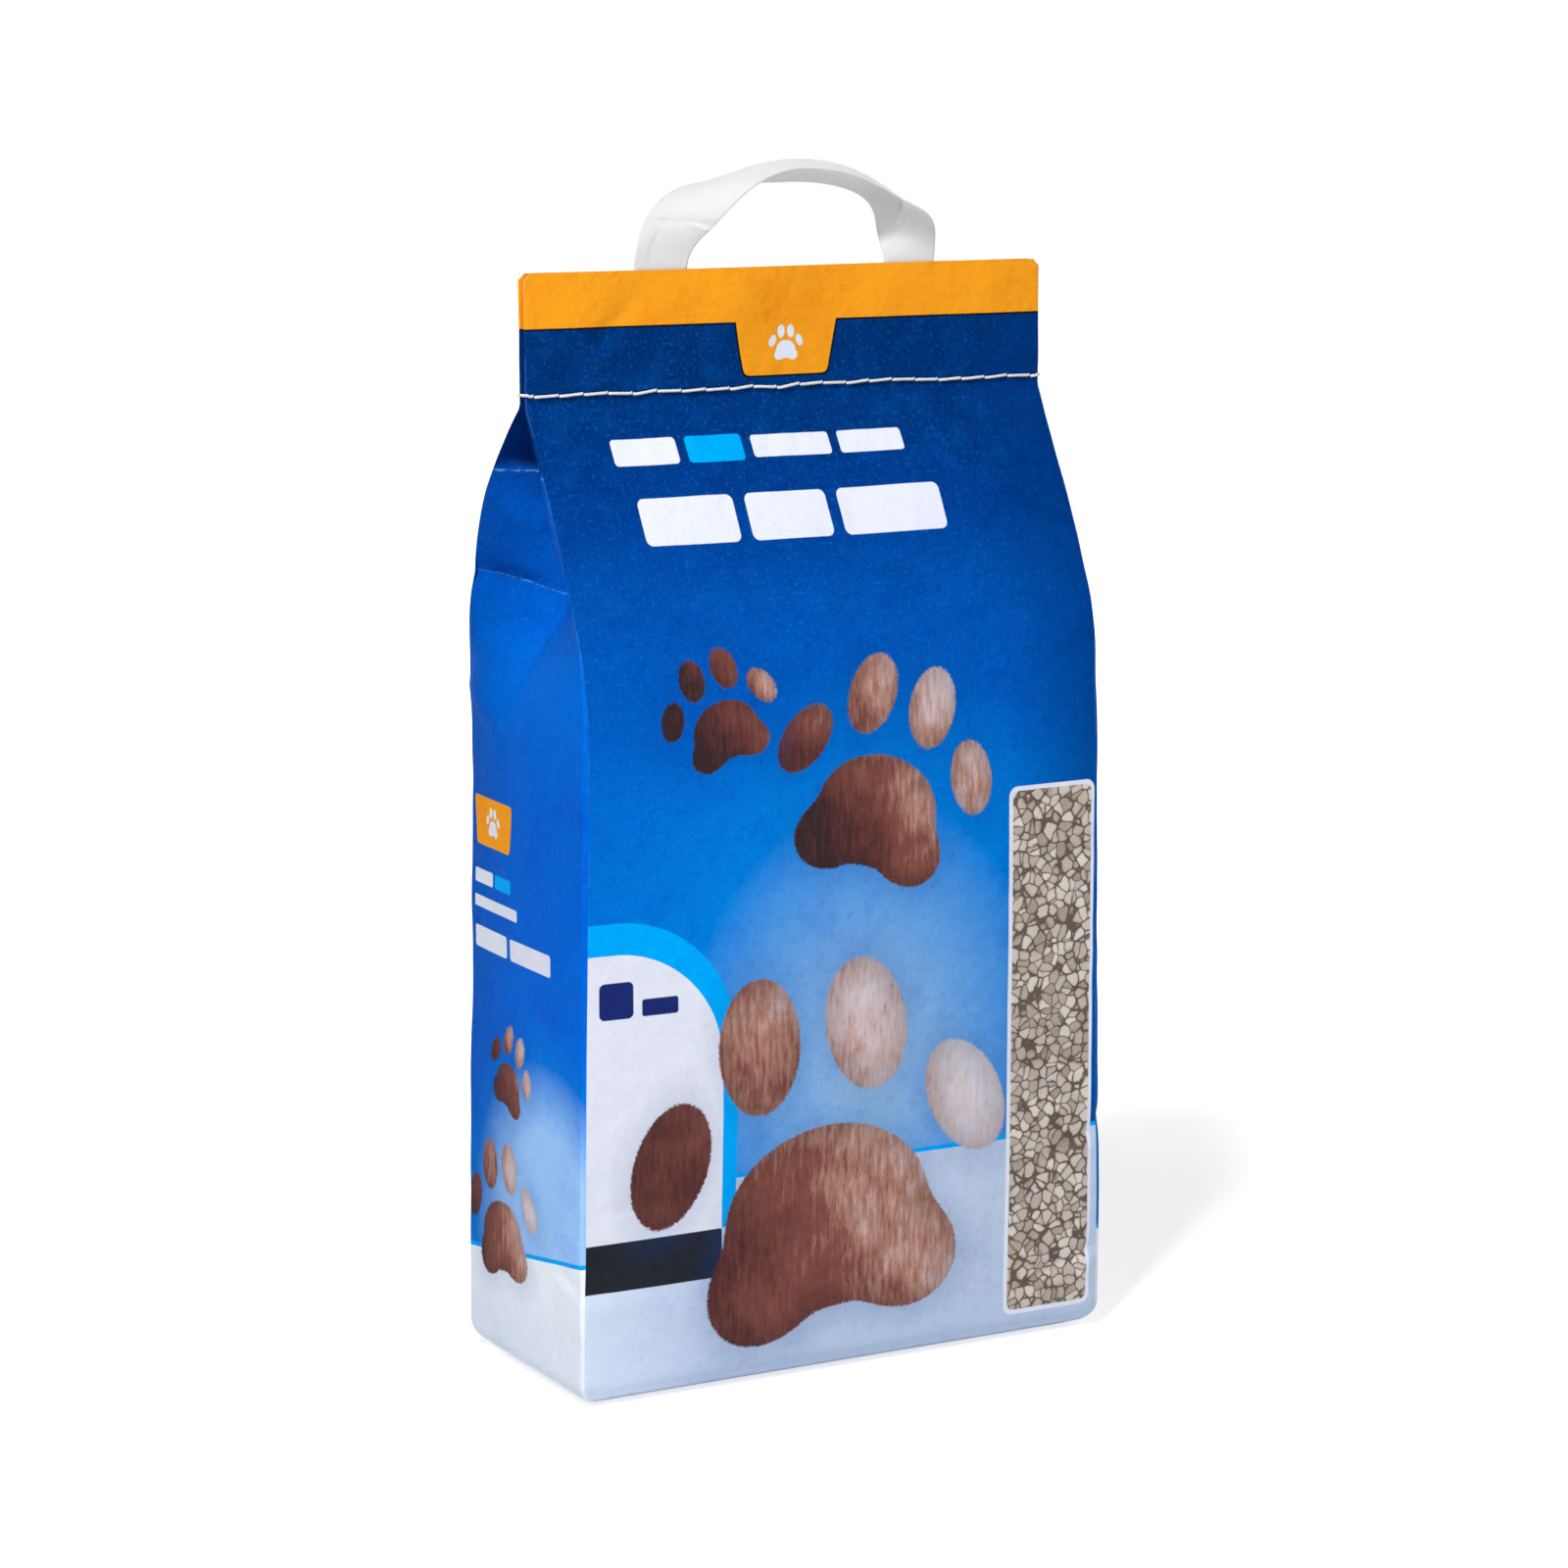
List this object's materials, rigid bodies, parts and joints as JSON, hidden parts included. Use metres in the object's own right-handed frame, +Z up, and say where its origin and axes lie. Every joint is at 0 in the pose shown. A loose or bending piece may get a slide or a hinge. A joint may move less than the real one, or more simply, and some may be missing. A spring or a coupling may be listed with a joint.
{
  "type": "cat litter bag",
  "caption": "Filled, gusseted paper sack of cat litter, sewn shut along a flat top flap, with a twisted white strap handle and plain printed panels.",
  "frame": {"origin": "on the floor, under the middle of the sack's box", "axes": "+Z up, +X along the sack's width, -Y out of the front panel"},
  "size_m": [0.2318, 0.1058, 0.4643],
  "materials": {
    "printed_paper": "coated paper, printed, satin",
    "white_strap": "white flat strap, satin",
    "white_thread": "off-white spun sewing thread, matt"
  },
  "bodies": {
    "root": {"filled_sack": "printed_paper", "carry_handle": "white_strap", "closing_thread": "white_thread"}
  },
  "joints": []
}
